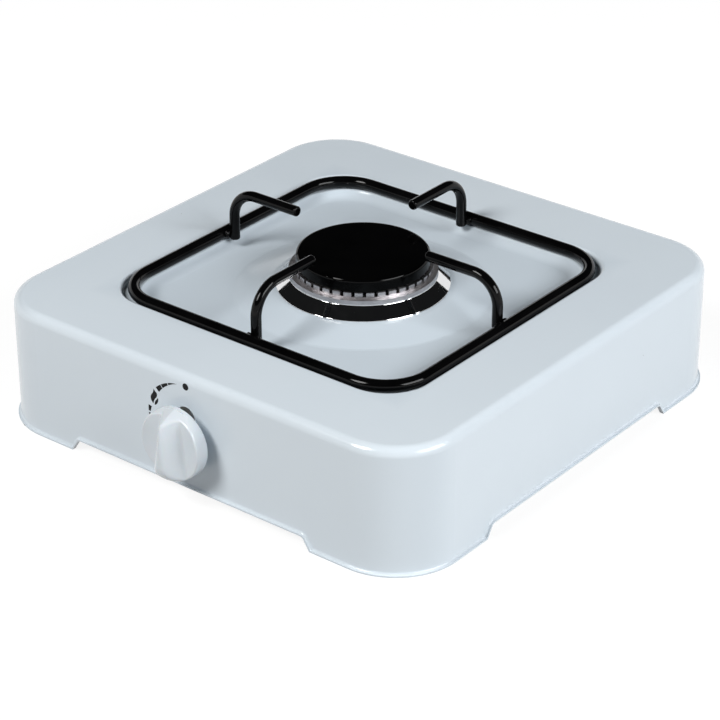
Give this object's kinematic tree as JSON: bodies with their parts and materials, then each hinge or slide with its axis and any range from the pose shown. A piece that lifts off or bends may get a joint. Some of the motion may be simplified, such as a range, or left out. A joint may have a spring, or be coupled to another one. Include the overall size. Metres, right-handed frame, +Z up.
{
  "type": "single burner gas stove",
  "caption": "Square tabletop gas stove with a white enamelled body, black wire pan support, slotted round burner with a black cap, and a front knob on a push-and-turn tap.",
  "frame": {"origin": "on the burner's axis at table level, midway between the knob's front and the hose barb's end", "axes": "+X to the right along the front, +Y to the back, +Z up; the knob faces -Y"},
  "size_m": [0.2832, 0.326, 0.0992],
  "materials": {
    "white_enamel": "gloss vitreous enamel on steel sheet",
    "black_enamel": "gloss black enamel on steel wire",
    "cap_enamel": "semi-gloss black enamel",
    "chrome_trim": "mirror chrome plating",
    "cast_aluminium": "satin cast and turned aluminium",
    "brass_fittings": "turned brass",
    "zinc_steel": "zinc plated steel",
    "steel_pipe": "drawn steel tube",
    "white_plastic": "gloss moulded plastic"
  },
  "bodies": {
    "stove": {"body_shell": "white_enamel", "trim_ring": "chrome_trim", "burner_cup": "cast_aluminium", "burner_bridge": "zinc_steel", "burner_screws": "zinc_steel", "tap_bracket": "zinc_steel", "tap_body": "brass_fittings", "tap_bonnet": "zinc_steel", "tap_screws": "zinc_steel", "tap_nuts": "zinc_steel", "injector": "brass_fittings", "feed_pipe": "steel_pipe", "tap_pipe_nut": "brass_fittings", "inlet_pipe_nut": "brass_fittings", "inlet_connector": "brass_fittings", "inlet_washer": "zinc_steel", "inlet_lock_nut": "brass_fittings", "pipe_clip": "zinc_steel", "pipe_clip_screw": "zinc_steel"},
    "pan_support": {"pan_support_frame": "black_enamel", "prong_front": "black_enamel", "prong_right": "black_enamel", "prong_back": "black_enamel", "prong_left": "black_enamel"},
    "crown": {"burner_crown": "cast_aluminium"},
    "cap": {"burner_cap": "cap_enamel"},
    "plug": {"tap_plug": "brass_fittings", "tap_spring": "zinc_steel"},
    "knob": {"knob": "white_plastic", "knob_clip": "zinc_steel", "tap_spindle": "zinc_steel"}
  },
  "joints": [
    {"name": "pan_support_lift", "type": "slide", "parent": "stove", "child": "pan_support", "axis": [0, 0, 1], "range_m": [0, 0.06]},
    {"name": "crown_lift", "type": "slide", "parent": "stove", "child": "crown", "axis": [0, 0, 1], "range_m": [0, 0.03]},
    {"name": "cap_lift", "type": "slide", "parent": "crown", "child": "cap", "axis": [0, 0, 1], "range_m": [0, 0.03]},
    {"name": "knob_turn", "type": "hinge", "parent": "stove", "child": "plug", "pos_m": [0, -0.142, 0.0362], "axis": [0, -1, 0], "range_deg": [0, 180]},
    {"name": "knob_push", "type": "slide", "parent": "plug", "child": "knob", "axis": [0, 1, 0], "range_m": [0, 0.003], "stiffness_N_per_m": 1200, "springref_m": -0.003, "deforming": ["tap_spring"]}
  ]
}
